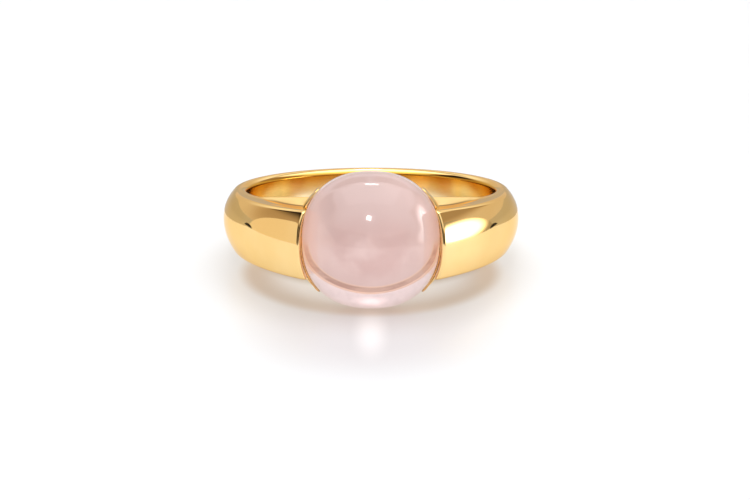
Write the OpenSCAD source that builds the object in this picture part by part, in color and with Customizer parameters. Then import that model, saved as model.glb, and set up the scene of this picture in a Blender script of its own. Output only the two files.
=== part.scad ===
// A finger ring with a round, high-domed rose quartz set between two heavy gold shoulders.
// It lies on its side, as such a ring rests by itself: the underside of the stone and the
// lower edge at the back of the band touch the surface. Sizes are millimetres.

/* [Finger hole] */
// Inside diameter, which sets the ring size
bore_d = 17; // [15:0.1:20]

/* [Band] */
// Thickness of the gold at the back and sides of the finger
wall_t = 1.65; // [1.2:0.05:2.2]
// Width across the flat sides beside the stone
front_w = 4.6; // [4.2:0.1:5]
// Width across the flat sides at the back and sides of the finger
back_w = 4; // [3.4:0.1:4.2]
// Height of the shoulders in front of the finger hole
shoulder_h = 3.75; // [3.4:0.05:4.2]
// Radius of the crown across the outer face at the back and sides
crown_r = 2.7; // [2.5:0.1:5]
// Rounding between the outer face and the flat sides at the back and sides
edge_r = 0.45; // [0.25:0.05:0.6]

/* [Stone] */
// Width of the cabochon
stone_d = 9.1; // [8:0.1:9.6]
// Height of the straight wall round its base
girdle_h = 0.5; // [0.3:0.05:1]
// Height of the dome above that wall
dome_h = 3.8; // [3:0.1:4.8]
// How square the round outline is, where 2 is a circle
squareness = 2.3; // [2:0.05:2.6]

/* [Setting] */
// Thickness of the gold strip behind the stone
seat_t = 0.5; // [0.4:0.05:1]
// How far the rims of the two cups stand in front of the seat
cup_h = 0.85; // [0.6:0.05:1.2]
// Thickness of a cup's wall where it leaves the shoulder
cup_t = 0.3; // [0.25:0.05:0.5]
// Height of a cup's tips above and below the middle, as a share of the stone's radius
cup_span = 0.76; // [0.7:0.01:0.8]
// Slope of the raised lip that runs from the finger hole's edge up to each cup
lip_slope = 0.18; // [0.1:0.01:0.25]

/* [Hidden] */
$fn = 96;

// Clear space between the gold and the stone
gap = 0.04;
bore_r = bore_d / 2;
back_r = bore_r + wall_t;
stone_r = stone_d / 2;
pocket_r = stone_r + gap;
seat_y = bore_r + seat_t;
base_y = seat_y + gap;
girdle_y = base_y + girdle_h;
shoulder_y = bore_r + shoulder_h;

// Half the width of the band at a distance y behind the finger hole's centre: even at the
// back, and flaring more and more towards the stone
flare_y = 0.47 * bore_r;
function half_w(y) =
    back_w / 2 + (front_w - back_w) / 2 * pow(max(0, flare_y - y) / (flare_y + shoulder_y), 2);

// The shoulder's outline is an arc that leaves the round back at this angle from the front
// and ends at the pocket's edge.
leave_a = 90;
leave = back_r * [-sin(leave_a), -cos(leave_a)];
inward = [sin(leave_a), cos(leave_a)];
reach = [-pocket_r, -shoulder_y] - leave;
shoulder_r = reach * reach / (2 * reach * inward);
shoulder_c = leave + shoulder_r * inward;
shoulder_start_a = 270 - leave_a;
// It is drawn on a little past that edge, to where the pocket takes it away again.
shoulder_end_x = 0.6 * pocket_r;
shoulder_end_a = 180 + acos((shoulder_c[0] + shoulder_end_x) / shoulder_r);
shoulder_steps = 30;
back_steps = 60;

// Steps across the crown, across one rounded edge and along the flare of a side
crown_steps = 4;
edge_steps = 3;
flare_steps = 9;
// How far the drawn-in levels stand past the flat sides that trim them
trim = 0.01;
// Radii of the crown and of the rounded edge at the shoulder's drawn end
crown_at_end = 2.25 * crown_r;
edge_at_end = 0.54 * edge_r;

// The lip follows a circle round a point in front of the finger hole's centre. It leaves
// the hole's edge where its top comes level with the band's side, and ends a little in front
// of the middle of the cups.
lip_c = 0.31 * bore_r;
lip_r = seat_y + 0.92 * cup_h - lip_c;
lip_start_y = 0.55 * bore_r;
lip_sink = 0.05;

// A cup's wall is the edge of two circles, moved apart by this much each, that meet the
// stone's outline near the tips.
cup_shift = 0.25 * stone_r;
cup_belly = 0.26;
cup_depth = 1.35 * cup_h;

// Ring on its side: the back corner of the stone's underside and the rounded lower edge of
// the back are level.
back_tip_a = asin((half_w(back_r) - edge_r) / (crown_r - edge_r));
back_edge_y = back_r - crown_r + (crown_r - edge_r) * cos(back_tip_a);
contact_span = base_y + back_edge_y;
contact_drop = stone_r - half_w(back_r) + edge_r;
tilt = atan(contact_drop / contact_span) - asin(edge_r / norm([contact_span, contact_drop]));
floor_z = base_y * sin(tilt) - stone_r * cos(tilt);
front_y = -girdle_y * cos(tilt) - norm([dome_h * cos(tilt), stone_r * sin(tilt)]);
rear_y = (back_r - crown_r) * cos(tilt) + crown_r;

// Radius of a circle pulled towards a square, at the angle a
function squircle(a, r, n) = r / pow(pow(abs(cos(a)), n) + pow(abs(sin(a)), n), 1 / n);

// Outline of the stone at its widest, grown to the radius r
function outline(r, n = squareness, steps = $fn) =
    [for (i = [0:steps - 1]) let (a = 360 * i / steps) squircle(a, r, n) * [cos(a), sin(a)]];

// Lays the ring, drawn with its finger hole along Z and its stone towards -Y, on the surface
module laid_down() {
    translate([0, -(front_y + rear_y) / 2, -floor_z]) rotate([-tilt, 0, 0]) children();
}

// A prism of the flat drawing below, running forward from the distance y in front of the hole's centre
module forward(y, length) {
    translate([0, -y, 0]) rotate([90, 0, 0]) linear_extrude(length) children();
}

// A prism of the side drawing below, whose first axis runs to the back and second axis up
module sideways(width) {
    rotate([90, 0, 90]) linear_extrude(width, center = true) children();
}

// One point of the band's outline seen along the finger hole: its place, the way out of the
// gold there and the radii of the crown and the edge, which change towards the end by t
function on_arc(c, r, a, t) = [c + r * [cos(a), sin(a)], [cos(a), sin(a)],
    [crown_r, edge_r] * (1 - t) + [crown_at_end, edge_at_end] * t];

// The left shoulder from its end to where it leaves the round back
left_side = [for (i = [0:shoulder_steps]) let (u = i / shoulder_steps)
    on_arc(shoulder_c, shoulder_r, shoulder_end_a + (shoulder_start_a - shoulder_end_a) * u, 1 - u)];
round_back = [for (i = [1:back_steps - 1])
    on_arc([0, 0], back_r, 270 - leave_a - (360 - 2 * leave_a) * i / back_steps, 0)];
right_side = [for (i = [shoulder_steps:-1:0]) let (p = left_side[i])
    [[-p[0][0], p[0][1]], [-p[1][0], p[1][1]], p[2]]];
band_outline = concat(left_side, round_back, right_side);

// The band's section at one place, from the lower side up to the upper one, as pairs of a
// depth in from the outline and a height: a crown of radius c between two edges of radius f
function crowned_section(w, c, f) =
    let (tip_a = asin((w - f) / (c - f)), edge_in = c - (c - f) * cos(tip_a),
        crown = [for (k = [0:crown_steps]) let (a = tip_a * k / crown_steps)
            [c - c * cos(a), c * sin(a)]],
        edge = [for (k = [1:edge_steps]) let (a = tip_a + (90 - tip_a) * k / edge_steps)
            f * [-cos(a), sin(a)] + [edge_in, w - f]],
        upper = concat(crown, edge, [[edge_in, front_w]]), last = len(upper) - 1)
    [for (k = [-last:last]) k < 0 ? [upper[-k][0], -upper[-k][1]] : upper[k]];

// The band without its holes: the outline drawn in level by level
module crowned_slab() {
    sections = [for (p = band_outline) crowned_section(half_w(p[0][1]) + trim, p[2][0], p[2][1])];
    rows = len(sections[0]) - 1;
    n = len(band_outline);
    points = [for (k = [0:rows]) for (i = [0:n - 1]) let (p = band_outline[i], s = sections[i][k],
        q = p[0] - s[0] * p[1]) [q[0], q[1], s[1]]];
    walls = [for (k = [0:rows - 1]) for (i = [0:n - 1]) let (j = (i + 1) % n)
        [k * n + i, k * n + j, (k + 1) * n + j, (k + 1) * n + i]];
    bottom = [[for (i = [n - 1:-1:0]) i]];
    top = [[for (i = [0:n - 1]) rows * n + i]];
    polyhedron(points = points, faces = concat(bottom, walls, top), convexity = 4);
}

// The band's sides
module side_faces() {
    front = -shoulder_y - wall_t;
    flare = [for (i = [0:flare_steps]) front + (flare_y - front) * i / flare_steps];
    stations = concat(flare, [back_r + wall_t]);
    n = len(stations);
    sideways(3 * back_r) polygon([for (i = [0:2 * n - 1])
        i < n ? [stations[i], half_w(stations[i])] : [stations[2 * n - 1 - i], -half_w(stations[2 * n - 1 - i])]]);
}

// The lip at both edges of the finger hole, which rises towards the cups
module lips() {
    front = -seat_y - cup_h;
    root = half_w(-lip_start_y) - lip_sink;
    rise = lip_slope * (-front - lip_start_y);
    intersection() {
        translate([0, -lip_c, 0]) cylinder(r = lip_r, h = 2 * front_w, center = true);
        sideways(2 * back_r) polygon([
            [-lip_start_y, -root], [-lip_start_y, root],
            [front, root + rise], [front, -root - rise]
        ]);
    }
}

// Two crescent walls that hold the stone at both sides
module cups() {
    crescent_r = pocket_r + cup_t + cup_belly - cup_shift;
    forward(seat_y + cup_h - cup_depth, cup_depth)
        intersection() {
            union() {
                translate([-cup_shift, 0]) circle(r = crescent_r);
                translate([cup_shift, 0]) circle(r = crescent_r);
            }
            square([4 * stone_r, 2 * cup_span * stone_r], center = true);
        }
}

// The shank, its shoulders, the lips and the cups are one piece of gold
module band() {
    color("goldenrod") laid_down() difference() {
        union() {
            intersection() {
                crowned_slab();
                side_faces();
            }
            lips();
            cups();
        }
        cylinder(r = bore_r, h = 4 * front_w, center = true, $fn = 180);
        forward(seat_y, 3 * dome_h) polygon(outline(pocket_r));
    }
}

// A cabochon with a flat base, a short straight wall and a dome, whose outline grows rounder to the top
module stone() {
    steps = 72;
    rows = 14;
    // Each level is a share of the full width, a height above the base and the outline's squareness.
    dome = [for (i = [0:rows - 1]) let (a = 90 * i / rows)
        [cos(a), girdle_h + dome_h * sin(a), 2 + (squareness - 2) * cos(a)]];
    levels = concat([[1, 0, squareness]], dome);
    rings = [for (level = levels) for (p = outline(level[0] * stone_r, level[2], steps))
        [p[0], -base_y - level[1], p[1]]];
    apex = len(rings);
    last = (len(levels) - 1) * steps;
    points = concat(rings, [[0, -girdle_y - dome_h, 0]]);
    walls = [for (k = [0:len(levels) - 2]) for (i = [0:steps - 1]) let (j = (i + 1) % steps)
        [k * steps + j, k * steps + i, (k + 1) * steps + i, (k + 1) * steps + j]];
    cap = [for (i = [0:steps - 1]) [last + (i + 1) % steps, last + i, apex]];
    base = [[for (i = [0:steps - 1]) i]];
    color("mistyrose") laid_down() polyhedron(points = points, faces = concat(base, walls, cap), convexity = 2);
}

band();
stone();
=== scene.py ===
"""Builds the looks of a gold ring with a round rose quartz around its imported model.

The ring is drawn upright in millimetres, with the finger hole along Z and the stone towards -Y, and is
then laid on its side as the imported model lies.
"""

import logging
import math
from collections.abc import Callable
from dataclasses import dataclass, field
from enum import Enum

import bmesh
import bpy
from mathutils import Matrix, Vector

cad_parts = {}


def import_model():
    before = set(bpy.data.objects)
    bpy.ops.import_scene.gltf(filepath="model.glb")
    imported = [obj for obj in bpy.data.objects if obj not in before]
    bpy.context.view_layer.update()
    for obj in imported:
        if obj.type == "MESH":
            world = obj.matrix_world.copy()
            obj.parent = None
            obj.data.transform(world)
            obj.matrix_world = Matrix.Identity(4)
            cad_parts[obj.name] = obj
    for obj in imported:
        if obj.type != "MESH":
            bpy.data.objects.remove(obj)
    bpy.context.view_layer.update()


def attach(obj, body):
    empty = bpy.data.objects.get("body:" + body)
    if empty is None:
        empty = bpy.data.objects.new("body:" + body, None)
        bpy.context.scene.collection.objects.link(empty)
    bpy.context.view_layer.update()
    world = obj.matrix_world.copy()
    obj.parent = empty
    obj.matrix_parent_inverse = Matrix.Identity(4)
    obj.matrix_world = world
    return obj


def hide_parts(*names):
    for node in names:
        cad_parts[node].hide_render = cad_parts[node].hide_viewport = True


log = logging.getLogger("ring")

MM = 0.001
TURN = 2 * math.pi
PER_RADIAN = 180 / math.pi
WHITE = (1.0, 1.0, 1.0, 1.0)
BLACK = (0.0, 0.0, 0.0, 1.0)
Color = tuple[float, float, float, float]
Pair = tuple[float, float]
Spot = tuple[float, float, float]
Place = Callable[[int, int], Spot]
Fade = Callable[["Graph"], "Signal"]


def blend(a: float, b: float, t: float) -> float:
    """Returns the value a share t of the way from a to b."""
    return a + (b - a) * t


def clamp(value: float, low: float = 0.0, high: float = 1.0) -> float:
    """Returns the value, kept between low and high."""
    return max(low, min(high, value))


def ease(t: float) -> float:
    """Returns t from 0 to 1 with a soft start and a soft end."""
    t = clamp(t)
    return t * t * (3 - 2 * t)


def add_object(name: str, data: bpy.types.ID) -> bpy.types.Object:
    """Adds an object to the scene.

    Args:
        name: Its name.
        data: The mesh, lamp or camera that it shows.

    Returns:
        The object.
    """
    thing = bpy.data.objects.new(name, data)
    bpy.context.scene.collection.objects.link(thing)
    return thing


def add_mesh_object(name: str, bm: bmesh.types.BMesh, material: bpy.types.Material) -> bpy.types.Object:
    """Adds an object with one finish to the scene.

    Args:
        name: Its name, which its mesh shares.
        bm: Its mesh, which is used up.
        material: Its finish.

    Returns:
        The object.
    """
    mesh = bpy.data.meshes.new(name)
    bm.to_mesh(mesh)
    bm.free()
    mesh.materials.append(material)
    return add_object(name, mesh)


# Shaders


class Signal:
    """A shader socket's output that takes part in sums."""

    def __init__(self, graph: "Graph", socket: bpy.types.NodeSocket) -> None:
        """Wraps one socket of a graph."""
        self.graph = graph
        self.socket = socket

    def _math(self, operation: str, first: "Signal | float", second: "Signal | float") -> "Signal":
        """Adds a Math node and returns its value."""
        return self.graph.add("ShaderNodeMath", {0: first, 1: second}, operation=operation)["Value"]

    def __add__(self, other: "Signal | float") -> "Signal":
        """Returns self + other."""
        return self._math("ADD", self, other)

    def __radd__(self, other: float) -> "Signal":
        """Returns other + self."""
        return self._math("ADD", other, self)

    def __sub__(self, other: "Signal | float") -> "Signal":
        """Returns self - other."""
        return self._math("SUBTRACT", self, other)

    def __rsub__(self, other: float) -> "Signal":
        """Returns other - self."""
        return self._math("SUBTRACT", other, self)

    def __mul__(self, other: "Signal | float") -> "Signal":
        """Returns self * other."""
        return self._math("MULTIPLY", self, other)

    def __rmul__(self, other: float) -> "Signal":
        """Returns other * self."""
        return self._math("MULTIPLY", other, self)

    def __truediv__(self, other: "Signal | float") -> "Signal":
        """Returns self / other."""
        return self._math("DIVIDE", self, other)

    def power(self, exponent: float) -> "Signal":
        """Returns self to the given power."""
        return self._math("POWER", self, exponent)

    def size(self) -> "Signal":
        """Returns self without its sign."""
        return self._math("ABSOLUTE", self, 0.0)

    def remap(self, low: float, high: float, to_low: float = 0.0, to_high: float = 1.0) -> "Signal":
        """Returns self moved from one range to another, eased and held at the ends."""
        sockets = {"Value": self, 1: low, 2: high, 3: to_low, 4: to_high}
        return self.graph.add("ShaderNodeMapRange", sockets, interpolation_type="SMOOTHSTEP")["Result"]


class Made:
    """A node that has been added, read by its output's name."""

    def __init__(self, graph: "Graph", node: bpy.types.Node) -> None:
        """Wraps one node of a graph."""
        self.graph = graph
        self.node = node

    def __getitem__(self, name: str | int) -> Signal:
        """Returns the named output."""
        return Signal(self.graph, self.node.outputs[name])


class Graph:
    """The node tree of one material or of the world."""

    def __init__(self, tree: bpy.types.NodeTree) -> None:
        """Empties the tree and keeps it."""
        self.tree = tree
        tree.nodes.clear()

    def add(self, kind: str, sockets: dict | None = None, **settings: str | bool) -> Made:
        """Adds a node.

        Args:
            kind: The node's type.
            sockets: Values or signals by input name or number.
            settings: The node's own settings, which are set first.

        Returns:
            The wrapped node.
        """
        node = self.tree.nodes.new(kind)
        for name, value in settings.items():
            setattr(node, name, value)
        for name, value in (sockets or {}).items():
            if isinstance(value, Signal):
                self.tree.links.new(value.socket, node.inputs[name])
            else:
                node.inputs[name].default_value = value
        return Made(self, node)

    def mix(self, factor: "Signal | float", a: "Signal | tuple", b: "Signal | tuple", **how: str) -> Signal:
        """Returns the colour a share factor of the way from a to b."""
        sockets = {0: factor, 6: a, 7: b}
        return self.add("ShaderNodeMix", sockets, data_type="RGBA", **how)[2]

    def place(self, stretch: Spot = (1.0, 1.0, 1.0), turn: Spot = (0.0, 0.0, 0.0)) -> Signal:
        """Returns the place on the object, stretched and turned for a pattern."""
        spot = self.add("ShaderNodeTexCoord")["Object"]
        return self.add("ShaderNodeMapping", {"Vector": spot, "Scale": stretch, "Rotation": turn})["Vector"]

    def parts(self, vector: Signal) -> tuple[Signal, Signal, Signal]:
        """Returns a vector's three parts."""
        split = self.add("ShaderNodeSeparateXYZ", {"Vector": vector})
        return split["X"], split["Y"], split["Z"]

    def swing(self, across: Signal, ahead: Signal) -> Signal:
        """Returns the angle away from straight ahead, in degrees."""
        turned = self.add("ShaderNodeMath", {0: across, 1: ahead}, operation="ARCTAN2")["Value"]
        return turned * PER_RADIAN

    def dimmed(self, color: "Signal | Color", share: "Signal | Color") -> Signal:
        """Returns a colour multiplied by a share, or by another colour."""
        return self.mix(1.0, color, share, blend_type="MULTIPLY")

    def principled(self, sockets: dict) -> Signal:
        """Adds a principled shader and returns its output."""
        return self.add("ShaderNodeBsdfPrincipled", sockets)["BSDF"]

    def show(self, **ends: Signal) -> None:
        """Ends a material's tree with its Surface and, where it has one, its Volume."""
        self.add("ShaderNodeOutputMaterial", ends)


@dataclass(frozen=True)
class Clouds:
    """A cloudy pattern, in cells of 1/scale metres before they are stretched.

    The contrast, where it has one, is the part of the pattern's tones that is spread over the range kept.
    """

    scale: float
    detail: float
    roughness: float = 0.5
    stretch: Spot = (1.0, 1.0, 1.0)
    contrast: Pair | None = None
    kept: Pair = (0.0, 1.0)

    def tone(self, graph: Graph) -> Signal:
        """Draws the pattern.

        Args:
            graph: The material's node tree.

        Returns:
            The pattern's tone at each place on the object.
        """
        sockets = {
            "Vector": graph.place(self.stretch),
            "Scale": self.scale,
            "Detail": self.detail,
            "Roughness": self.roughness,
        }
        tone = graph.add("ShaderNodeTexNoise", sockets)["Fac"]
        return tone.remap(*self.contrast, *self.kept) if self.contrast else tone


@dataclass(frozen=True)
class Oval:
    """A soft oval spot on a surface, by its middle and its half sizes in millimetres."""

    middle: Pair
    half: Pair

    def away(self, first: Signal, second: Signal) -> Signal:
        """Measures how far out a place is.

        Args:
            first: The place along the oval's first half size, in millimetres.
            second: The place along its second one.

        Returns:
            The share of the way from the oval's middle to its edge.
        """
        one = (first - self.middle[0]) / self.half[0]
        other = (second - self.middle[1]) / self.half[1]
        return (one * one + other * other).power(0.5)


def ring_frame(graph: Graph, sizes: "RingSizes") -> tuple[Signal, Signal, Signal]:
    """Finds each place in the upright ring's frame.

    Args:
        graph: The material's node tree.
        sizes: The ring's sizes.

    Returns:
        The place across, along and up, in millimetres.
    """
    lean, middle = sizes.stance()
    shift = Matrix.Rotation(lean, 3, "X") @ middle
    across, along, up = graph.parts(graph.place(turn=(lean, 0, 0)))
    return across / MM, along / MM - shift.y, up / MM - shift.z


def new_material(name: str) -> tuple[bpy.types.Material, Graph]:
    """Starts a material.

    Args:
        name: Its name.

    Returns:
        The material and its empty node tree.
    """
    material = bpy.data.materials.new(name)
    material.use_nodes = True
    return material, Graph(material.node_tree)


@dataclass(frozen=True)
class PolishedGold:
    """Yellow gold, hand polished, with the faint waves and hairlines of a polishing wheel.

    The finger hole is a paler gold with painted reflection streaks and painted shade, amber near its upper
    edge and at both sides, and a dark line of painted shade lies in the crease at the foot of the raised lip.
    """

    color: Color = (0.985, 0.705, 0.325, 1.0)
    deep_color: Color = (0.965, 0.665, 0.280, 1.0)
    deepening: Clouds = Clouds(240.0, 3.0, contrast=(0.35, 0.70))
    edge_tint: Color = (0.97, 0.83, 0.60, 1.0)
    roughness: float = 0.05
    hairlines: Clouds = Clouds(900.0, 4.0, 0.6, (1.0, 1.0, 9.0), (0.45, 0.75))
    hairline_roughness: float = 0.03
    waves: Clouds = Clouds(330.0, 1.0)
    wave_strength: float = 0.35
    wave_height: float = 0.0000022
    hole_color: Color = (1.0, 0.79, 0.41, 1.0)
    # The finger hole: painted reflection streaks, and painted shade near its upper edge and at both sides
    hole_painted_streak: Color = (0.99, 0.86, 0.56, 1.0)
    hole_painted_streaks: Clouds = Clouds(300.0, 3.0, 0.5, (1.0, 1.0, 0.12), (0.42, 0.62))
    hole_painted_shade: Color = (0.76, 0.40, 0.04, 1.0)
    hole_roughness: float = 0.13
    hole_fade: Pair = (0.01, 0.14)
    hole_shade_up: Pair = (0.8, 1.7)
    hole_shade_up_share: float = 0.95
    hole_shade_across: Pair = (6.0, 8.3)
    hole_shade_across_share: float = 0.80
    # A dark line of painted shade in the crease at the foot of the raised lip
    crease_shade_color: Color = (0.22, 0.12, 0.04, 1.0)
    crease_shade_half: Pair = (0.06, 0.14)
    crease_shade_up: Pair = (1.9, 2.05)
    crease_shade_along: Pair = (-8.5, -5.0)
    crease_shade_share: float = 0.85

    def hole_painted_tone(self, graph: Graph, across: Signal, up: Signal) -> Signal:
        """Paints the inside of the finger hole, with painted reflection streaks and painted shade.

        Args:
            graph: The material's node tree.
            across: The place across the ring.
            up: The place up the finger hole.

        Returns:
            The colour there.
        """
        tone = graph.mix(self.hole_painted_streaks.tone(graph), self.hole_color, self.hole_painted_streak)
        upper = up.remap(*self.hole_shade_up, 0.0, self.hole_shade_up_share)
        ends = across.size().remap(*self.hole_shade_across, 0.0, self.hole_shade_across_share)
        return graph.mix(upper + ends * (1 - upper), tone, self.hole_painted_shade)

    def painted_crease_shade(self, graph: Graph, sizes: "RingSizes", spot: tuple[Signal, ...], radius: Signal) -> Signal:
        """Draws a dark line of painted shade in the crease at the foot of the raised lip.

        Args:
            graph: The material's node tree.
            sizes: The ring's sizes.
            spot: The place across, along and up.
            radius: Its distance from the middle of the finger hole.

        Returns:
            How much of the painted shade shows.
        """
        across, along, up = spot
        swing = graph.swing(across.size(), along * -1.0)
        foot = swing.remap(*sizes.lip_swing, sizes.lip_foot_near, sizes.lip_foot_far)
        painted_line = (radius - foot).size().remap(*self.crease_shade_half, 1.0, 0.0)
        ends = along.remap(*self.crease_shade_along, self.crease_shade_share, 0.0)
        return painted_line * up.size().remap(*self.crease_shade_up) * ends

    def make(self, sizes: "RingSizes") -> bpy.types.Material:
        """Makes the finish.

        Args:
            sizes: The ring's sizes.

        Returns:
            The material.
        """
        material, graph = new_material("polished_gold")
        across, along, up = ring_frame(graph, sizes)
        radius = (across * across + along * along).power(0.5)
        inside = (radius - sizes.bore_r).remap(*self.hole_fade, 1.0, 0.0)
        outer = graph.mix(self.deepening.tone(graph), self.color, self.deep_color)
        outer_rough = self.roughness + self.hairlines.tone(graph) * self.hairline_roughness
        painted_crease_shade = self.painted_crease_shade(graph, sizes, (across, along, up), radius)
        color = graph.mix(inside, outer, self.hole_painted_tone(graph, across, up))
        waves = {
            "Strength": self.wave_strength,
            "Distance": self.wave_height,
            "Height": self.waves.tone(graph),
        }
        polished = {
            "Base Color": graph.mix(painted_crease_shade, color, self.crease_shade_color),
            "Metallic": 1.0,
            "Specular Tint": self.edge_tint,
            "Roughness": outer_rough + inside * (self.hole_roughness - outer_rough),
            "Normal": graph.add("ShaderNodeBump", waves)["Normal"],
        }
        graph.show(Surface=graph.principled(polished))
        return material


@dataclass(frozen=True)
class RoseQuartz:
    """The clear, glassy part of the pale-pink quartz."""

    clear: Color = (1.0, 0.955, 0.95, 1.0)
    tint: Color = (0.93, 0.72, 0.69, 1.0)
    milk: Color = (0.97, 0.84, 0.82, 1.0)
    milkiness: float = 0.12
    milk_roughness: float = 0.04
    ior: float = 1.54
    absorption: float = 30.0

    def make(self) -> bpy.types.Material:
        """Makes the finish.

        Returns:
            The material.
        """
        material, graph = new_material("rose_quartz")
        glassy = {"Base Color": self.clear, "Roughness": 0.0, "IOR": self.ior, "Transmission Weight": 1.0}
        veiled = {"Base Color": self.milk, "Roughness": self.milk_roughness, "IOR": self.ior}
        shaders = {0: self.milkiness, 1: graph.principled(glassy), 2: graph.principled(veiled)}
        both = graph.add("ShaderNodeMixShader", shaders)[0]
        inside = graph.add("ShaderNodeVolumeAbsorption", {"Color": self.tint, "Density": self.absorption})[0]
        graph.show(Surface=both, Volume=inside)
        return material


@dataclass(frozen=True)
class QuartzMilk:
    """The cloudy veils in the quartz, with painted glow, pale painted edges, a brown painted reflection of
    the gold along their lower rim and painted shade towards the top.
    """

    milk: Color = (0.78, 0.55, 0.52, 1.0)
    cloud: Color = (0.92, 0.73, 0.70, 1.0)
    clouds: Clouds = Clouds(420.0, 4.0, 0.55, contrast=(0.40, 0.68))
    # Painted light: the veils painted paler towards their edges, where they would fall into shade
    pale: Color = (0.90, 0.72, 0.69, 1.0)
    painted_pale_out: Pair = (0.20, 0.75)
    painted_pale_share: float = 0.80
    # The painted reflection of the gold seat low in the stone: a brown band between two pale painted lines
    painted_line: Color = (0.95, 0.72, 0.58, 1.0)
    painted_line_inset: float = 0.232
    painted_line_out: Pair = (0.94, 1.0)
    painted_gold_reflection: Color = (0.58, 0.34, 0.26, 1.0)
    painted_reflection_inset: float = 0.16
    painted_reflection_out: Pair = (0.92, 0.99)
    painted_reflection_streaks: Clouds = Clouds(700.0, 2.0, 0.5, (0.55, 1.0, 2.2), (0.40, 0.60), (0.60, 1.0))
    outer_painted_line_inset: float = 0.02
    outer_painted_line_out: Pair = (0.985, 0.995)
    below: Pair = (-0.9, 0.4)
    # Painted shade: the veils painted darker towards the top, less so at the sides
    shade: Color = (0.42, 0.28, 0.26, 1.0)
    shade_up: Pair = (-1.5, 3.0)
    shade_share: Pair = (0.12, 0.74)
    shade_aside: Pair = (0.25, 0.90)
    shade_aside_share: float = 0.55
    # Painted glow: light that the milk gives off, stronger at the sides
    painted_inner_glow: float = 0.27
    painted_side_glow: float = 0.25
    side_glow_aside: Pair = (0.35, 1.0)

    def make(self, sizes: "RingSizes") -> bpy.types.Material:
        """Makes the finish.

        Args:
            sizes: The ring's sizes.

        Returns:
            The material.
        """
        material, graph = new_material("quartz_milk")
        across, _, up = ring_frame(graph, sizes)

        def out(inset: float) -> Signal:
            """Measures how far out a place is.

            Args:
                inset: How far the heart's lower outline is drawn in, in millimetres.

            Returns:
                The square of the share of the way to that outline.
            """
            wide = across / (sizes.heart_half_x - inset)
            low = up / (sizes.heart_low_z - inset)
            return wide * wide + low * low

        aside = across / sizes.heart_half_x
        aside = aside * aside
        body = graph.mix(self.clouds.tone(graph), self.milk, self.cloud)
        # Edges painted paler, painted light
        body = graph.mix(out(0.0).remap(*self.painted_pale_out, 0.0, self.painted_pale_share), body, self.pale)
        # Painted shade towards the top
        shade = up.remap(*self.shade_up, *self.shade_share)
        shade = shade * aside.remap(*self.shade_aside, 1.0, self.shade_aside_share)
        body = graph.mix(shade, body, self.shade)
        below = up.remap(*self.below, 1.0, 0.0)
        # The painted reflection of the gold seat along the lower rim, between two pale painted lines
        painted_gold_reflection = out(self.painted_reflection_inset).remap(*self.painted_reflection_out) * below * self.painted_reflection_streaks.tone(graph)
        edged = graph.mix(out(self.painted_line_inset).remap(*self.painted_line_out) * below, body, self.painted_line)
        edged = graph.mix(painted_gold_reflection, edged, self.painted_gold_reflection)
        edged = graph.mix(out(self.outer_painted_line_inset).remap(*self.outer_painted_line_out) * below, edged, self.painted_line)
        # A painted glow, stronger at the sides
        most = self.painted_inner_glow + self.painted_side_glow
        glow = aside.remap(*self.side_glow_aside, self.painted_inner_glow / most, 1.0)
        milky = {
            "Base Color": edged,
            "Roughness": 1.0,
            "Specular IOR Level": 0.0,
            "Emission Color": graph.dimmed(edged, glow),
            "Emission Strength": most,
        }
        graph.show(Surface=graph.principled(milky))
        return material


@dataclass(frozen=True)
class GroundQuartz:
    """The matt, ground face at the stone's flat base, with a painted glow that is brighter in a painted
    caustic below the middle, where the dome would gather light.
    """

    color: Color = (0.62, 0.52, 0.53, 1.0)
    dusty: Color = (0.54, 0.44, 0.45, 1.0)
    grain: Clouds = Clouds(3000.0, 3.0, 0.6, contrast=(0.40, 0.70))
    roughness: float = 0.9
    gloss: float = 0.1
    # Painted glow, brighter in a painted caustic spot below the middle
    painted_glow_color: Color = (1.0, 0.90, 0.90, 1.0)
    painted_inner_glow: float = 0.47
    painted_gathered_glow: float = 0.45
    painted_caustic_spot: Oval = Oval((0.0, -2.98), (1.2, 0.32))

    def make(self, sizes: "RingSizes") -> bpy.types.Material:
        """Makes the finish.

        Args:
            sizes: The ring's sizes.

        Returns:
            The material.
        """
        material, graph = new_material("ground_quartz")
        across, _, up = ring_frame(graph, sizes)
        most = self.painted_inner_glow + self.painted_gathered_glow
        glow = self.painted_caustic_spot.away(across, up).remap(0.0, 1.0, 1.0, self.painted_inner_glow / most)
        matt = {
            "Base Color": graph.mix(self.grain.tone(graph), self.color, self.dusty),
            "Roughness": self.roughness,
            "Specular IOR Level": self.gloss,
            "Emission Color": graph.dimmed(self.painted_glow_color, glow),
            "Emission Strength": most,
        }
        graph.show(Surface=graph.principled(matt))
        return material


# Shapes


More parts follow.
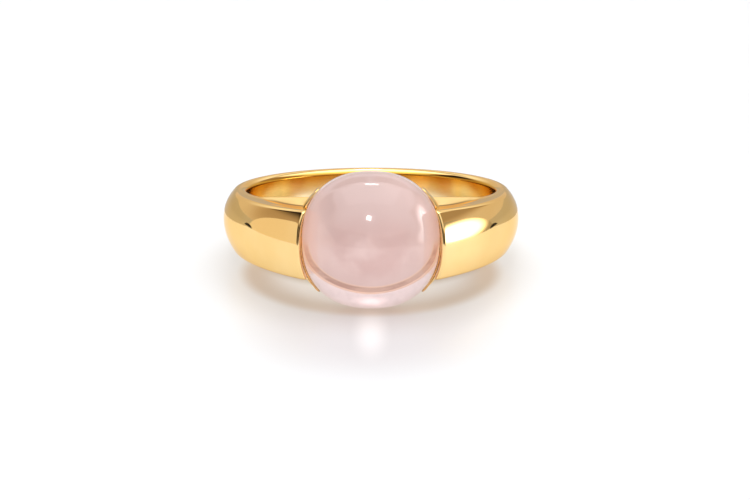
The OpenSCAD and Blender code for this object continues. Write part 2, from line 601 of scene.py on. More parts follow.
@dataclass(frozen=True)
class RingSizes:
    """The ring's sizes in millimetres.

    All but the lip's and the heart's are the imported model's own.
    """

    bore_r: float = 8.5
    wall_t: float = 1.65
    front_w: float = 4.6
    back_w: float = 4.0
    flare_share: float = 0.47
    shoulder_h: float = 3.75
    crown_r: float = 2.7
    crown_growth: float = 2.25
    edge_r: float = 0.45
    edge_growth: float = 0.54
    stone_r: float = 4.55
    girdle_h: float = 0.5
    dome_h: float = 3.8
    squareness: float = 2.3
    gap: float = 0.04
    seat_t: float = 0.5
    cup_h: float = 0.85
    cup_t: float = 0.3
    cup_belly: float = 0.26
    cup_span: float = 0.76
    cup_shift_share: float = 0.25
    lip_slope: float = 0.145
    lip_foot_near: float = 10.15
    lip_foot_far: float = 9.15
    lip_swing: Pair = (25.0, 50.0)
    heart_half_x: float = 3.85
    heart_top_z: float = 4.0
    heart_low_z: float = 2.62
    heart_depth: float = 2.9

    @property
    def back_r(self) -> float:
        """Radius of the outer face at the back."""
        return self.bore_r + self.wall_t

    @property
    def pocket_r(self) -> float:
        """Radius of the pocket that holds the stone."""
        return self.stone_r + self.gap

    @property
    def seat_y(self) -> float:
        """Distance from the hole's centre to the seat behind the stone."""
        return self.bore_r + self.seat_t

    @property
    def base_y(self) -> float:
        """Distance from the hole's centre to the stone's flat base."""
        return self.seat_y + self.gap

    @property
    def girdle_y(self) -> float:
        """Distance from the hole's centre to where the dome starts."""
        return self.base_y + self.girdle_h

    @property
    def shoulder_y(self) -> float:
        """Distance from the hole's centre to the front of the shoulders."""
        return self.bore_r + self.shoulder_h

    @property
    def flare_y(self) -> float:
        """Place behind the hole's centre where the band starts to widen."""
        return self.flare_share * self.bore_r

    @property
    def cup_shift(self) -> float:
        """Distance that the two circles of the cups' outline are moved apart from the middle, each."""
        return self.cup_shift_share * self.stone_r

    @property
    def crescent_r(self) -> float:
        """Radius of those two circles."""
        return self.pocket_r + self.cup_t + self.cup_belly - self.cup_shift

    @property
    def shoulder_arc_r(self) -> float:
        """Radius of the arc that the shoulders follow, seen along the hole."""
        across = self.back_r - self.pocket_r
        return (across**2 + self.shoulder_y**2) / (2 * across)

    @property
    def shoulder_arc_x(self) -> float:
        """Distance of that arc's centre past the middle."""
        return self.shoulder_arc_r - self.back_r

    def half_width(self, y: float) -> float:
        """Returns half the band's width at the place y, which is negative towards the stone."""
        flare = max(0.0, self.flare_y - y) / (self.flare_y + self.shoulder_y)
        return self.back_w / 2 + (self.front_w - self.back_w) / 2 * flare**2

    def outline_x(self, z: float, radius: float) -> float:
        """Returns the half-width of the stone's squarish round outline, grown to a radius, at a height z."""
        n = self.squareness
        return max(0.0, radius**n - min(abs(z), radius) ** n) ** (1 / n)

    def stance(self) -> tuple[float, Vector]:
        """Works out how the ring lies on its side.

        Returns:
            Its lean in radians, and the middle of the finger hole in millimetres.
        """
        reach = self.back_r - self.crown_r
        tip = math.asin((self.back_w / 2 - self.edge_r) / (self.crown_r - self.edge_r))
        span = self.base_y + reach + (self.crown_r - self.edge_r) * math.cos(tip)
        drop = self.stone_r - self.back_w / 2 + self.edge_r
        lean = math.atan(drop / span) - math.asin(self.edge_r / math.hypot(span, drop))
        lift = self.stone_r * math.cos(lean) - self.base_y * math.sin(lean)
        front = -self.girdle_y * math.cos(lean)
        front -= math.hypot(self.dome_h * math.cos(lean), self.stone_r * math.sin(lean))
        rear = reach * math.cos(lean) + self.crown_r
        return lean, Vector((0, -(front + rear) / 2, lift))

    def laid_down(self) -> Matrix:
        """Returns the move from the upright ring in millimetres to the ring on its side in metres."""
        lean, centre = self.stance()
        return Matrix.Scale(MM, 4) @ Matrix.Translation(centre) @ Matrix.Rotation(-lean, 4, "X")


class Former:
    """Makes pieces from a few bmesh shapes whose points are then put in place."""

    # Radius of the plain hoop, whose section is a circle of radius 1, before its points are put in place
    hoop_r: float = 4.0

    def __init__(self, sizes: RingSizes) -> None:
        """Keeps the sizes and the move onto the surface."""
        self.sizes = sizes
        self.down = sizes.laid_down()

    def hoop(self, stations: int, around: int, place: Place) -> bmesh.types.BMesh:
        """Spins a circle into a hoop and puts each of its points in place.

        Args:
            stations: Steps along the hoop.
            around: Steps round its section.
            place: Gives a point for a station and a step.

        Returns:
            The closed mesh.
        """
        bm = bmesh.new()
        made = bmesh.ops.create_circle(bm, segments=around, radius=1.0)
        upright = Matrix.Translation((self.hoop_r, 0, 0)) @ Matrix.Rotation(math.pi / 2, 4, "X")
        bmesh.ops.transform(bm, matrix=upright, verts=made["verts"])
        bmesh.ops.spin(
            bm,
            geom=bm.verts[:] + bm.edges[:],
            axis=(0, 0, 1),
            cent=(0, 0, 0),
            angle=TURN,
            steps=stations,
            use_merge=True,
        )
        bmesh.ops.remove_doubles(bm, verts=bm.verts[:], dist=0.0001)
        for vert in bm.verts:
            x, y, z = vert.co
            station = round(math.atan2(y, x) / TURN * stations) % stations
            step = round(math.atan2(z, math.hypot(x, y) - self.hoop_r) / TURN * around) % around
            vert.co = place(station, step)
        return bm

    def pod(self, stations: int, around: int, place: Place) -> bmesh.types.BMesh:
        """Takes a globe, whose poles close it, and puts each of its points in place.

        Args:
            stations: Steps from pole to pole.
            around: Steps round it.
            place: Gives a point for a station and a step.

        Returns:
            The closed mesh.
        """
        bm = bmesh.new()
        bmesh.ops.create_uvsphere(bm, u_segments=around, v_segments=stations, radius=1.0)
        for vert in bm.verts:
            x, y, z = vert.co
            station = round(math.acos(clamp(z, -1, 1)) / math.pi * stations)
            step = round(math.atan2(y, x) / TURN * around) % around
            vert.co = place(station, step)
        return bm

    def finish(
        self,
        bm: bmesh.types.BMesh,
        name: str,
        material: bpy.types.Material,
        mirrored: bool = False,
    ) -> bpy.types.Object:
        """Lays a mesh on the surface and makes it a smooth object.

        Args:
            bm: The mesh, upright and in millimetres.
            name: The object's name.
            material: Its finish.
            mirrored: Whether it changes sides.

        Returns:
            The object.
        """
        if mirrored:
            bmesh.ops.scale(bm, vec=(-1, 1, 1), verts=bm.verts[:])
        bmesh.ops.recalc_face_normals(bm, faces=bm.faces[:])
        if bm.calc_volume(signed=True) < 0:
            bmesh.ops.reverse_faces(bm, faces=bm.faces[:])
        bmesh.ops.transform(bm, matrix=self.down, verts=bm.verts[:])
        for face in bm.faces:
            face.smooth = True
        return add_mesh_object(name, bm, material)


class Part(Enum):
    """A part of a path, by its place in order and its number of steps."""

    @property
    def steps(self) -> int:
        """Returns the number of steps."""
        return self.value[1]


class Stretch(Part):
    """The parts of the band's outline, from the back's middle to the stone's middle."""

    BACK = (0, 60)
    SHOULDER = (1, 64)
    FILLET = (2, 14)
    POCKET = (3, 10)
    SEAT = (4, 12)


class Zone(Part):
    """The parts of half a section, from the outer face's middle to the finger hole's middle."""

    CROWN = (0, 10)
    EDGE = (1, 14)
    SIDE = (2, 24)
    RIM = (3, 14)
    WALL = (4, 10)


def locate(parts: type[Part], index: int) -> tuple[Part, float]:
    """Finds the part of a path that a step falls in.

    Args:
        parts: The path's parts, in order.
        index: The step, counted from the path's start.

    Returns:
        The part, and how far along it the step is, as a share.

    Raises:
        ValueError: The step is past the path's end.
    """
    for part in parts:
        if index <= part.steps:
            return part, index / part.steps
        index -= part.steps
    raise ValueError(index)


@dataclass
class Shank:
    """The band with its shoulders, the strip behind the stone and the raised lips, one piece of gold."""

    sizes: RingSizes
    rim_r: float = 0.40
    fillet_r: float = 0.16
    pocket_clear: float = 0.03
    lip_start: float = 4.75
    lip_blend: float = 0.35
    lip_hollow: float = 1.25
    lip_flat: float = 0.06
    lip_taken_up: float = 0.25
    shoulder_bend: float = 0.81
    half_stations: int = field(default=sum(part.steps for part in Stretch), init=False)
    half_steps: int = field(default=sum(part.steps for part in Zone), init=False)

    def side_height(self, x: float, y: float) -> float:
        """Measures the height of the band's side, with the lip that rises from it.

        Args:
            x: The place across.
            y: The place along.

        Returns:
            The height over that place.
        """
        s = self.sizes
        run = -y - self.lip_start
        rise = s.lip_slope * (math.hypot(run, self.lip_blend) + run) / 2
        swing = math.degrees(math.atan2(abs(x), -y))
        far = ease((swing - s.lip_swing[0]) / (s.lip_swing[1] - s.lip_swing[0]))
        foot = blend(s.lip_foot_near, s.lip_foot_far, far)
        top = s.bore_r + self.rim_r + self.lip_flat
        share = clamp((foot - math.hypot(x, y)) / (foot - top))
        return s.half_width(y) + rise * share**self.lip_hollow

    def section(self, bend: float) -> Pair:
        """Works out the roundings of the band's section.

        Args:
            bend: The share of the way to the shoulder's end.

        Returns:
            The radii of the crown and of the edge.
        """
        s = self.sizes
        crown = blend(s.crown_r, s.crown_growth * s.crown_r, bend)
        edge = blend(s.edge_r, s.edge_growth * s.edge_r, bend)
        return crown, edge

    def outer(self, stretch: Stretch, t: float, inset: float, z: float) -> Pair:
        """Returns a place on the band's outline.

        Args:
            stretch: The part of the outline.
            t: The share of the way along it.
            inset: How far the section is drawn in at that height.
            z: The height.

        Returns:
            The place across and along.
        """
        s = self.sizes
        if stretch is Stretch.BACK:
            a = math.pi / 2 * (1 + t)
            return (s.back_r - inset) * math.cos(a), (s.back_r - inset) * math.sin(a)
        arc_r = s.shoulder_arc_r - inset
        wall_x = -s.outline_x(z, s.pocket_r + self.pocket_clear)
        fillet_x = wall_x - self.fillet_r
        end = TURN - math.acos((fillet_x - s.shoulder_arc_x) / (arc_r - self.fillet_r))
        if stretch is Stretch.SHOULDER:
            a = blend(math.pi, end, t)
            return s.shoulder_arc_x + arc_r * math.cos(a), arc_r * math.sin(a)
        centre_y = (arc_r - self.fillet_r) * math.sin(end)
        if stretch is Stretch.FILLET:
            a = blend(end, TURN, t)
            return fillet_x + self.fillet_r * math.cos(a), centre_y + self.fillet_r * math.sin(a)
        if stretch is Stretch.POCKET:
            return wall_x, blend(centre_y, -s.seat_y, t)
        return wall_x * (1 - t), -s.seat_y

    def hole_angle(self, stretch: Stretch, t: float) -> float:
        """Matches a place on the band's outline with one round the finger hole.

        Args:
            stretch: The part of the outline.
            t: The share of the way along it.

        Returns:
            The angle round the finger hole, in radians.
        """
        marks = {
            Stretch.BACK: (90, 180),
            Stretch.SHOULDER: (180, 238),
            Stretch.FILLET: (238, 240),
            Stretch.POCKET: (240, 243.5),
            Stretch.SEAT: (243.5, 270),
        }
        return math.radians(blend(*marks[stretch], t))

    def place(self, station: int, step: int) -> Spot:
        """Puts one point of the band in place.

        Args:
            station: The step along the band.
            step: The step round its section.

        Returns:
            The point.
        """
        s = self.sizes
        flip_x = -1 if station > self.half_stations else 1
        flip_z = -1 if step > self.half_steps else 1
        station = min(station, 2 * self.half_stations - station)
        step = min(step, 2 * self.half_steps - step)
        stretch, t = locate(Stretch, station)
        zone, u = locate(Zone, step)
        x0, y0 = self.outer(stretch, t, 0.0, 0.0)
        behind_stone = stretch in (Stretch.POCKET, Stretch.SEAT)
        width = self.side_height(x0, y0) if behind_stone else s.half_width(y0)
        bends = {Stretch.BACK: 0.0, Stretch.SHOULDER: self.shoulder_bend * t}
        bend = bends.get(stretch, self.shoulder_bend)
        crown, edge = self.section(bend)
        tip = math.asin((width - edge) / (crown - edge))
        edge_in = crown - (crown - edge) * math.cos(tip)
        if zone is Zone.CROWN:
            inset, z = crown * (1 - math.cos(tip * u)), crown * math.sin(tip * u)
            x, y = self.outer(stretch, t, inset, z)
        elif zone is Zone.EDGE:
            a = blend(tip, math.pi / 2, u)
            inset, z = edge_in - edge * math.cos(a), width - edge + edge * math.sin(a)
            x, y = self.outer(stretch, t, inset, z)
        else:
            b = self.hole_angle(stretch, t)
            rim = s.bore_r + self.rim_r
            rx, ry = rim * math.cos(b), rim * math.sin(b)
            if zone is Zone.SIDE:
                ex, ey = self.outer(stretch, t, edge_in, width)
                u = (1 - math.cos(math.pi * u)) / 2
                x, y = blend(ex, rx, u), blend(ey, ry, u)
                z = blend(width, self.side_height(x, y), clamp(u / self.lip_taken_up))
            else:
                top = self.side_height(rx, ry)
                if zone is Zone.RIM:
                    a = math.pi / 2 * u
                    r, z = rim - self.rim_r * math.sin(a), top - self.rim_r * (1 - math.cos(a))
                else:
                    r, z = s.bore_r, (top - self.rim_r) * math.cos(math.pi / 2 * u)
                x, y = r * math.cos(b), r * math.sin(b)
        return flip_x * x, y, flip_z * z

    def build(self, former: Former, gold: bpy.types.Material) -> bpy.types.Object:
        """Returns the band."""
        bm = former.hoop(2 * self.half_stations, 2 * self.half_steps, self.place)
        return former.finish(bm, "gold_band", gold)


@dataclass
class Cup:
    """One of the two thin crescent walls that hold the stone."""

    sizes: RingSizes
    stations: int = 72
    around: int = 40
    rear: float = 0.42
    least_thick: float = 0.05
    tip_thick: float = 0.11
    tip_swelling: int = 3
    tip_round: float = 0.22
    tip_crowding: float = 1.15
    tip_width_share: float = 0.5
    tip_depth_share: float = 0.55
    squareness: float = 4.0

    def place(self, station: int, step: int) -> Spot:
        """Puts one point of the left wall in place.

        Args:
            station: The step from tip to tip.
            step: The step round the wall's section.

        Returns:
            The point.
        """
        s = self.sizes
        tip_z = s.cup_span * s.stone_r
        rise = math.cos(math.pi * station / self.stations)
        z = tip_z * math.copysign(1 - (1 - abs(rise)) ** self.tip_crowding, rise)
        near = -s.outline_x(z, s.pocket_r)
        far = -s.cup_shift - math.sqrt(s.crescent_r**2 - z**2)
        thick = max(near - far, self.least_thick) + self.tip_thick * (abs(z) / tip_z) ** self.tip_swelling
        front, back = s.seat_y + s.cup_h, s.bore_r + self.rear
        a = TURN * step / self.around
        c = math.copysign(abs(math.cos(a)) ** (2 / self.squareness), math.cos(a))
        d = math.copysign(abs(math.sin(a)) ** (2 / self.squareness), math.sin(a))
        close = ease((tip_z - abs(z)) / self.tip_round) ** 0.5
        x = near - thick / 2 + thick / 2 * c * blend(self.tip_width_share, 1.0, close)
        y = -(front + back) / 2 - (front - back) / 2 * d * blend(self.tip_depth_share, 1.0, close)
        return x, y, z

    def build(self, former: Former, gold: bpy.types.Material) -> list[bpy.types.Object]:
        """Builds both walls.

        Args:
            former: What makes their meshes.
            gold: Their finish.

        Returns:
            The left wall and the right one.
        """
        walls = []
        for name, mirrored in (("cup_left", False), ("cup_right", True)):
            bm = former.pod(self.stations, self.around, self.place)
            walls.append(former.finish(bm, name, gold, mirrored))
        return walls


@dataclass
class SeatPlate:
    """The thin plate behind the stone that joins the cups."""

    sizes: RingSizes
    half_z: float = 2.75
    rear: float = 0.21
    inset: float = 0.02
    soft: float = 0.06
    sharp_angle: float = 1.0
    points: int = 160

    def outline(self, angle: float) -> Pair:
        """Draws the plate's edge: two overlapping circles, cut level above and below.

        Args:
            angle: The direction from the middle, in radians.

        Returns:
            The place across and up.
        """
        s = self.sizes
        c, d = math.cos(angle), math.sin(angle)
        r = s.crescent_r - self.inset
        reach = s.cup_shift * abs(c) + math.sqrt(r**2 - (s.cup_shift * d) ** 2)
        if abs(d) * reach > self.half_z:
            reach = self.half_z / abs(d)
        return reach * c, reach * d

    def build(self, former: Former, gold: bpy.types.Material) -> bpy.types.Object:
        """Builds the plate.

        Args:
            former: What makes its mesh.
            gold: Its finish.

        Returns:
            The plate.
        """
        s = self.sizes
        bm = bmesh.new()
        made = bmesh.ops.create_circle(bm, segments=self.points, radius=1.0, cap_ends=True)
        for vert in made["verts"]:
            x, z = self.outline(math.atan2(vert.co.y, vert.co.x))
            vert.co = (x, -s.bore_r - self.rear, z)
        grown = bmesh.ops.extrude_face_region(bm, geom=bm.faces[:])
        moved = [item for item in grown["geom"] if isinstance(item, bmesh.types.BMVert)]
        bmesh.ops.translate(bm, vec=(0, self.rear - s.seat_t, 0), verts=moved)
        bmesh.ops.recalc_face_normals(bm, faces=bm.faces[:])
        rims = [edge for edge in bm.edges if edge.calc_face_angle(0.0) > self.sharp_angle]
        bmesh.ops.bevel(bm, geom=rims, offset=self.soft, segments=3, profile=0.5, affect="EDGES", material=-1)
        return former.finish(bm, "seat_plate", gold)


@dataclass
class Cabochon:
    """The stone: a flat base, a short wall and a high dome on a squarish round outline."""

    sizes: RingSizes
    around: int = 160
    dome_rows: int = 64
    girdle_rows: int = 6
    base_rows: int = 10
    corner: float = 0.05
    fullness: float = 0.97
    flat_within: float = 0.001

    def profile(self, row: int) -> Pair:
        """Draws the stone's profile, from apex to base.

        Args:
            row: The step along it.

        Returns:
            The share of the full width, and the height above the base.
        """
        s = self.sizes
        if row <= self.dome_rows:
            a = math.pi / 2 * row / self.dome_rows
            return math.sin(a) ** self.fullness, s.girdle_h + s.dome_h * math.cos(a)
        row -= self.dome_rows
        foot = self.corner / s.stone_r / 2
        if row <= self.girdle_rows:
            a = math.pi / 2 * row / self.girdle_rows
            low = self.corner * (1 - math.sin(a))
            height = blend(s.girdle_h, low, row / self.girdle_rows)
            return 1 - foot * (1 - math.cos(a)), height
        row -= self.girdle_rows
        return (1 - foot) * (1 - row / self.base_rows), 0.0

    def place(self, station: int, step: int) -> Spot:
        """Puts one point of the stone in place.

        Args:
            station: The row, from apex to base.
            step: The step round the stone.

        Returns:
            The point.
        """
        s = self.sizes
        share, height = self.profile(station)
        a = TURN * step / self.around
        n = 2 + (s.squareness - 2) * clamp(share) ** 2
        c, d = math.cos(a), math.sin(a)
        r = share * s.stone_r / (abs(c) ** n + abs(d) ** n) ** (1 / n)
        return r * c, -s.base_y - height, r * d

    def build(
        self,
        former: Former,
        quartz: bpy.types.Material,
        ground: bpy.types.Material,
    ) -> bpy.types.Object:
        """Builds the stone.

        Args:
            former: What makes its mesh.
            quartz: Its finish.
            ground: The finish of its flat base.

        Returns:
            The stone.
        """
        rows = self.dome_rows + self.girdle_rows + self.base_rows
        bm = former.pod(rows, self.around, self.place)
        for face in bm.faces:
            if all(vert.co.y > -self.sizes.base_y - self.flat_within for vert in face.verts):
                face.material_index = 1
        stone = former.finish(bm, "rose_quartz_cabochon", quartz)
        stone.data.materials.append(ground)
        return stone


@dataclass
class StoneHeart:
    """The milky middle of the stone, which the clear dome makes look larger."""

    sizes: RingSizes
    base_clear: float = 0.1
    back_bulge: float = 0.04
    rows: int = 64
    around: int = 96

    def place(self, station: int, step: int) -> Spot:
        """Puts one point of the milky middle in place.

        Args:
            station: The row, from the upper end to the lower one.
            step: The step round it.

        Returns:
            The point.
        """
        s = self.sizes
        polar = math.pi * station / self.rows
        a = TURN * step / self.around
        z = (s.heart_top_z if polar < math.pi / 2 else s.heart_low_z) * math.cos(polar)
        wide, out = math.sin(polar), math.sin(a)
        depth = s.heart_depth if out > 0 else self.back_bulge
        return s.heart_half_x * wide * math.cos(a), -s.base_y - self.base_clear - depth * wide * out, z

    def build(self, former: Former, milk: bpy.types.Material) -> bpy.types.Object:
        """Returns the milky middle."""
        bm = former.pod(self.rows, self.around, self.place)
        return former.finish(bm, "milky_heart", milk)


# Studio


@dataclass(frozen=True)
class Patch:
    """A patch of the studio round the ring: degrees to the right of the camera, degrees up and brightness."""

    side: Pair
    lift: Pair
    tone: float
    soft: float

    def mask(self, side: Signal, lift: Signal) -> Signal:
        """Draws the patch.

        Args:
            side: How far a direction is to the right of the camera, in degrees.
            lift: How far it is up, in degrees.

        Returns:
            How much of the patch shows there.
        """
        mask = side.remap(self.side[0] - self.soft, self.side[0] + self.soft)
        mask = mask * side.remap(self.side[1] - self.soft, self.side[1] + self.soft, 1.0, 0.0)
        mask = mask * lift.remap(self.lift[0] - self.soft, self.lift[0] + self.soft)
        return mask * lift.remap(self.lift[1] - self.soft, self.lift[1] + self.soft, 1.0, 0.0)


@dataclass(frozen=True)
class Surroundings:
    """What is round the ring and lights it: bright overhead, dimmer lower down and warmer where it is dim."""

    horizon: float = 0.74
    zenith: float = 1.75
    rise: Pair = (8.0, 55.0)
    dim_tint: Color = (1.0, 0.76, 0.52, 1.0)
    dim_tone: Pair = (0.35, 1.05)
    patches: tuple[Patch, ...] = (
        # A dim wall at the left, a black board left of the camera and a dark gap over the wall
        Patch((-128, -60), (2, 40), 0.46, 14.0),
        Patch((-70, -4), (-10, 20), 0.02, 3.0),
        Patch((-124, -74), (19, 44), 0.03, 5.0),
        # A black board right of the camera and a dim wall at the right
        Patch((6, 60), (-10, 14), 0.02, 3.0),
        Patch((76, 139), (13, 36), 0.42, 4.0),
        # A grey wall high up at the back, in two halves, and a strip lamp over it, in two halves too
        Patch((134, 182), (34, 60), 0.66, 6.0),
        Patch((-181, -134), (34, 60), 0.66, 6.0),
        Patch((168, 181), (64, 67.5), 16.0, 1.0),
        Patch((-181, -172), (64, 67.5), 16.0, 1.0),
        # A small lamp over the camera, in its own soft glow
        Patch((-12, 6), (37, 49), 3.0, 5.0),
        Patch((-6.5, 0.5), (40, 46), 40.0, 1.2),
    )

    def make(self) -> bpy.types.World:
        """Paints what is round the ring.

        Returns:
            The world.
        """
        world = bpy.data.worlds.new("studio")
        world.use_nodes = True
        graph = Graph(world.node_tree)
        x, y, z = graph.parts(graph.add("ShaderNodeTexCoord")["Generated"])
        side = graph.swing(x, y * -1.0)
        lift = graph.add("ShaderNodeMath", {0: z}, operation="ARCSINE")["Value"] * PER_RADIAN
        tone = lift.remap(*self.rise, self.horizon, self.zenith)
        for patch in self.patches:
            tone = tone + patch.mask(side, lift) * (patch.tone - tone)
        color = graph.mix(tone.remap(*self.dim_tone), self.dim_tint, WHITE)
        glow = graph.add("ShaderNodeBackground", {"Color": color, "Strength": tone})["Background"]
        graph.add("ShaderNodeOutputWorld", {"Surface": glow})
        return world


@dataclass(frozen=True)
class PaleFloor:
    """A pale floor with a soft gloss near the ring.

    Warm painted shadow lies under the ring and painted shade inside the finger hole. In front of the ring lie
    a faint painted grey reflection of the stone and a painted beam of light that has come through the stone.
    """

    color: Color = (0.40, 0.415, 0.435, 1.0)
    # Painted shadow and shade on the floor, and a painted grey reflection of the stone
    warm_shade: Color = (0.72, 0.57, 0.44, 1.0)
    inner_shade: Color = (0.44, 0.32, 0.20, 1.0)
    stone_reflection_shade: Color = (0.84, 0.81, 0.81, 1.0)
    roughness: Pair = (0.34, 0.62)
    glow: float = 0.405
    beam_glow: float = 0.26
    foot: Oval = Oval((0.0, -0.6), (9.6, 10.2))
    foot_core: Pair = (0.84, 0.97)
    foot_core_share: float = 0.66
    foot_fringe: Pair = (0.85, 1.40)
    foot_fringe_share: float = 0.18
    foot_middle: Pair = (0.58, 0.82)
    foot_middle_share: float = 0.50
    gloss_fade: Pair = (1.1, 2.6)
    hole: Oval = Oval((0.0, 2.5), (8.5, 7.5))
    hole_fade: Pair = (0.75, 1.0)
    stone_reflection_veil: Oval = Oval((0.0, -12.5), (10.5, 12.5))
    stone_reflection_fade: Pair = (0.30, 1.0)
    beam: Oval = Oval((0.0, -13.3), (1.5, 6.2))

    def make(self) -> bpy.types.Material:
        """Makes the finish.

        Returns:
            The material.
        """
        material, graph = new_material("pale_floor")
        x, y, _ = graph.parts(graph.place())
        x, y = x / MM, y / MM
        foot = self.foot.away(x, y)
        # Painted warm shadow round the ring's foot
        core = foot.remap(*self.foot_core, self.foot_core_share, 0.0)
        fringe = foot.remap(*self.foot_fringe, self.foot_fringe_share, 0.0)
        warm = (core + fringe) * foot.remap(*self.foot_middle, self.foot_middle_share, 1.0)
        stone_reflection_veil = self.stone_reflection_veil.away(x, y).remap(*self.stone_reflection_fade, 1.0, 0.0)
        hole = self.hole.away(x, y).remap(*self.hole_fade, 1.0, 0.0)
        # A painted beam of light that has come through the stone
        beam = self.beam.away(x, y).remap(0.0, 1.0, 1.0, 0.0)
        shade = graph.mix(warm, graph.mix(stone_reflection_veil, WHITE, self.stone_reflection_shade), self.warm_shade)
        shade = graph.mix(hole, shade, self.inner_shade)
        most = self.glow + self.beam_glow
        pale = {
            "Base Color": graph.dimmed(shade, self.color),
            "Roughness": foot.remap(*self.gloss_fade, *self.roughness),
            "Emission Color": graph.dimmed(shade, beam * (self.beam_glow / most) + self.glow / most),
            "Emission Strength": most,
        }
        graph.show(Surface=graph.principled(pale))
        return material


@dataclass(frozen=True)
class CardLight:
    """The light of a card: its brightness, its colour and the share of the brightness over the card.

    A clear card only adds its light to what is behind it.
    """

    tone: float
    tint: Color = WHITE
    fade: Fade | None = None
    clear: bool = False

    def solid(self, graph: Graph) -> Signal:
        """Builds the surface of a card that hides what is behind it.

        Args:
            graph: The material's node tree.

        Returns:
            The surface.
        """
        tint = self.tint
        if self.fade:
            bright = self.fade(graph)
            tint = graph.dimmed(graph.mix(bright, tint, WHITE), bright)
        glow = {
            "Base Color": BLACK,
            "Specular IOR Level": 0.0,
            "Emission Color": tint,
            "Emission Strength": self.tone,
        }
        return graph.principled(glow)

    def added(self, graph: Graph) -> Signal:
        """Builds the surface of a clear card.

        Args:
            graph: The material's node tree.

        Returns:
            The surface.
        """
        light = graph.add("ShaderNodeEmission", {"Color": self.tint, "Strength": self.tone})[0]
        dark = graph.add("ShaderNodeEmission", {"Strength": 0.0})[0]
        soft = graph.add("ShaderNodeMixShader", {0: self.fade(graph), 1: dark, 2: light})[0]
        behind = graph.add("ShaderNodeBsdfTransparent")[0]
        return graph.add("ShaderNodeAddShader", {0: soft, 1: behind})[0]

    def make(self, name: str) -> bpy.types.Material:
        """Makes the finish.

        Args:
            name: Its name.

        Returns:
            The material.
        """
        material, graph = new_material(name)
        graph.show(Surface=self.added(graph) if self.clear else self.solid(graph))
        return material


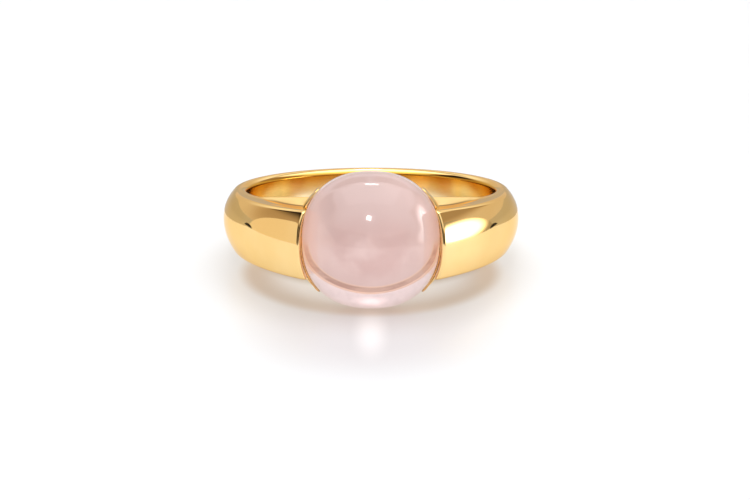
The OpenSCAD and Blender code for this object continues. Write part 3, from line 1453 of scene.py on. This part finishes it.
@dataclass
class Cards:
    """The oval cards round the ring, which show only in the gold, in the stone and in the floor's gloss.

    Sizes are half sizes in millimetres.
    """

    warm: Color = (1.0, 0.90, 0.76, 1.0)
    side_size: Pair = (34.0, 17.0)
    side_spot: Pair = (46.0, -18.0)
    side_turn: float = 82.0
    grey_tone: float = 0.92
    white_tone: float = 0.42
    white_spot_tone: float = 3.4
    white_spot: Oval = Oval((-6.0, 6.3), (21.5, 9.0))
    white_spot_fade: Pair = (0.50, 1.0)
    foot_size: Pair = (3.4, 2.0)
    foot_spot: Pair = (40.5, 16.0)
    foot_tone: float = 0.03
    back_size: Pair = (1400.0, 750.0)
    back_spot: Spot = (0.0, 764.0, 0.2)
    back_along: Pair = (12.0, 44.0)
    back_tone: Pair = (0.64, 0.56)
    sheen_spot: Spot = (31.4, -5.0, 14.9)
    sheen_aim: Spot = (3.3, -9.7, 6.7)
    sheen_r: float = 11.0
    sheen_core: float = 0.2
    sheen_tone: float = 7.5

    def add(self, name: str, stand: Matrix, size: Pair, light: CardLight) -> bpy.types.Object:
        """Adds a card.

        Args:
            name: Its name.
            stand: Its place and turn in millimetres.
            size: Its half sizes.
            light: Its light.

        Returns:
            The card.
        """
        bm = bmesh.new()
        bmesh.ops.create_circle(bm, segments=96, radius=1.0, cap_ends=True)
        place = Matrix.Scale(MM, 4) @ stand @ Matrix.Diagonal((size[0], size[1], 1, 1))
        bmesh.ops.transform(bm, matrix=place, verts=bm.verts[:])
        card = add_mesh_object(name, bm, light.make(name))
        card.visible_camera = False
        card.visible_diffuse = False
        card.visible_shadow = False
        return card

    def beside(self, side: int, spot: Pair) -> Matrix:
        """Stands an upright card on the floor beside the ring.

        Args:
            side: The left (-1) or the right (1).
            spot: The card's distance from the middle, and its place along.

        Returns:
            The card's place and turn, in millimetres.
        """
        turn = Matrix.Rotation(math.radians(self.side_turn * -side), 4, "Z")
        stand = Matrix.Translation((side * spot[0], spot[1], 0))
        return stand @ turn @ Matrix.Rotation(math.pi / 2, 4, "X")

    def white_fade(self, graph: Graph) -> Signal:
        """Fades the white card round its bright spot.

        Args:
            graph: The material's node tree.

        Returns:
            The share of the card's brightness.
        """
        _, along, up = graph.parts(graph.place())
        away = self.white_spot.away(along / MM, up / MM)
        least = self.white_tone / (self.white_tone + self.white_spot_tone)
        return away.remap(*self.white_spot_fade, 1.0, least)

    def back_fade(self, graph: Graph) -> Signal:
        """Returns the brightness of the back card, which darkens away from the ring."""
        _, along, _ = graph.parts(graph.place())
        return (along / MM).remap(*self.back_along, *self.back_tone)

    def sheen_fade(self, graph: Graph) -> Signal:
        """Fades the sheen card towards its edge.

        Args:
            graph: The material's node tree.

        Returns:
            The share of the card's brightness.
        """
        ends = {0: graph.place(), 1: Vector(self.sheen_spot) * MM}
        away = graph.add("ShaderNodeVectorMath", ends, operation="DISTANCE")["Value"]
        return (away / MM).remap(self.sheen_core * self.sheen_r, self.sheen_r, 1.0, 0.0)

    def build_sheen(self, stone: bpy.types.Object) -> None:
        """Hangs a small soft card to the right of the stone, whose light only the stone shows.

        Args:
            stone: The stone.
        """
        spot, aim = Vector(self.sheen_spot), Vector(self.sheen_aim)
        stand = Matrix.Translation(spot) @ (aim - spot).to_track_quat("Z", "Y").to_matrix().to_4x4()
        light = CardLight(self.sheen_tone, fade=self.sheen_fade, clear=True)
        card = self.add("sheen_card", stand, (self.sheen_r, self.sheen_r), light)
        lit = bpy.data.collections.new("lit_by_the_sheen_card")
        lit.objects.link(stone)
        card.light_linking.receiver_collection = lit

    def build(self, stone: bpy.types.Object) -> None:
        """Builds two cards beside the ring, a dark one at the far end of each, one behind and the sheen.

        Args:
            stone: The stone, which alone shows the sheen.
        """
        grey = CardLight(self.grey_tone, self.warm)
        white = CardLight(self.white_tone + self.white_spot_tone, self.warm, self.white_fade)
        dark = CardLight(self.foot_tone)
        back = CardLight(1.0, self.warm, self.back_fade)
        self.add("grey_card", self.beside(-1, self.side_spot), self.side_size, grey)
        self.add("white_card", self.beside(1, self.side_spot), self.side_size, white)
        self.add("left_foot_card", self.beside(-1, self.foot_spot), self.foot_size, dark)
        self.add("right_foot_card", self.beside(1, self.foot_spot), self.foot_size, dark)
        self.add("back_card", Matrix.Translation(self.back_spot), self.back_size, back)
        self.build_sheen(stone)


@dataclass
class Studio:
    """The pale floor, the soft light around the ring and the camera, with places in millimetres."""

    elevation: float = 18.08
    distance: float = 220.0
    pixels_per_radian: float = 3207.6
    photo_width: float = 750.0
    sensor_width: float = 36.0
    aim: Spot = (0.2755, 0.0, 1.318)
    floor_half: float = 1500.0
    lamp_spot: Spot = (0.0, 20.0, 300.0)
    lamp_size: Pair = (340.0, 300.0)
    lamp_aim: Spot = (0.0, 0.0, 4.0)
    lamp_watts: float = 0.25

    def build_camera(self) -> None:
        """Adds the camera, level and looking down at the ring."""
        data = bpy.data.cameras.new("camera")
        data.sensor_width = self.sensor_width
        data.lens = self.pixels_per_radian * self.sensor_width / self.photo_width
        data.clip_start = 0.01
        camera = add_object("camera", data)
        tilt = math.radians(self.elevation)
        back = self.distance * Vector((0, -math.cos(tilt), math.sin(tilt)))
        camera.location = (Vector(self.aim) + back) * MM
        camera.rotation_euler = (math.pi / 2 - tilt, 0, 0)
        bpy.context.scene.camera = camera

    def build_floor(self) -> None:
        """Adds the floor."""
        bm = bmesh.new()
        bmesh.ops.create_grid(bm, x_segments=8, y_segments=8, size=self.floor_half * MM)
        add_mesh_object("floor", bm, PaleFloor().make())

    def build_lamp(self) -> None:
        """Hangs one large soft lamp over the ring."""
        data = bpy.data.lights.new("overhead", "AREA")
        data.shape = "RECTANGLE"
        data.size, data.size_y = (side * MM for side in self.lamp_size)
        data.energy = self.lamp_watts
        lamp = add_object("overhead", data)
        lamp.location = Vector(self.lamp_spot) * MM
        down = Vector(self.lamp_aim) - Vector(self.lamp_spot)
        lamp.rotation_euler = down.to_track_quat("-Z", "Y").to_euler()

    def build(self, stone: bpy.types.Object) -> None:
        """Sets up the whole studio round the ring.

        Args:
            stone: The stone, which one card lights alone.
        """
        self.build_camera()
        self.build_floor()
        bpy.context.scene.world = Surroundings().make()
        Cards().build(stone)
        self.build_lamp()
        bpy.context.scene.view_settings.view_transform = "Standard"


@dataclass
class Ring:
    """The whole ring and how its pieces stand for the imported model's."""

    sizes: RingSizes = field(default_factory=RingSizes)

    def adopt(self, piece: bpy.types.Object, node: str) -> None:
        """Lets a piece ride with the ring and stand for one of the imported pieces.

        Args:
            piece: The piece.
            node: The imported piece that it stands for.
        """
        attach(piece, "root")
        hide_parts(node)
        log.info("%s: %d faces for %s", piece.name, len(piece.data.polygons), node)

    def build(self) -> bpy.types.Object:
        """Builds every piece of the ring.

        Returns:
            The stone.
        """
        former = Former(self.sizes)
        gold = PolishedGold().make(self.sizes)
        metal = [Shank(self.sizes).build(former, gold), SeatPlate(self.sizes).build(former, gold)]
        metal += Cup(self.sizes).build(former, gold)
        for piece in metal:
            self.adopt(piece, "band")
        heart = StoneHeart(self.sizes).build(former, QuartzMilk().make(self.sizes))
        heart.visible_diffuse = False
        ground = GroundQuartz().make(self.sizes)
        stone = Cabochon(self.sizes).build(former, RoseQuartz().make(), ground)
        for piece in (stone, heart):
            self.adopt(piece, "stone")
        return stone


def main() -> None:
    """Builds the ring and its studio."""
    logging.basicConfig(level=logging.INFO, format="%(name)s: %(message)s")
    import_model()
    stone = Ring().build()
    Studio().build(stone)


if __name__ == "__main__":
    main()
